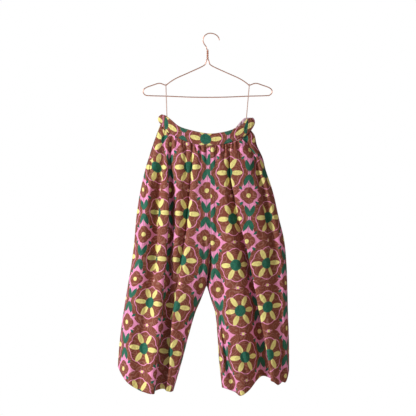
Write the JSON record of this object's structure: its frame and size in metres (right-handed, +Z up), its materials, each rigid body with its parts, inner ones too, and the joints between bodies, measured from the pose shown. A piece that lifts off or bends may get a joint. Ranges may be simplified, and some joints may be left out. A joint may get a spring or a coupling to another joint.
{
  "type": "palazzo pants on a wire clothes hanger",
  "caption": "Wide-leg palazzo pants in a bold flower print, hung by two ribbon loops from a copper wire hanger.",
  "frame": {"origin": "top of the inner curve of the hanger's hook, where the rail that holds it touches", "axes": "+Z up, -Y towards the front of the pants, +X towards the right seen from the front"},
  "size_m": [0.5813, 0.1664, 1.2284],
  "materials": {
    "printed_cotton": "matte printed plain weave",
    "loop_tape": "fine woven tape",
    "copper_wire": "bright copper plating"
  },
  "bodies": {
    "root": {"leg_front_left": "printed_cotton", "leg_front_right": "printed_cotton", "leg_back_left": "printed_cotton", "leg_back_right": "printed_cotton", "waistband_front": "printed_cotton", "waistband_back": "printed_cotton", "pocket_facing_left": "printed_cotton", "pocket_facing_right": "printed_cotton", "hanging_loop_left": "loop_tape", "hanging_loop_right": "loop_tape", "hanger": "copper_wire"}
  },
  "joints": []
}
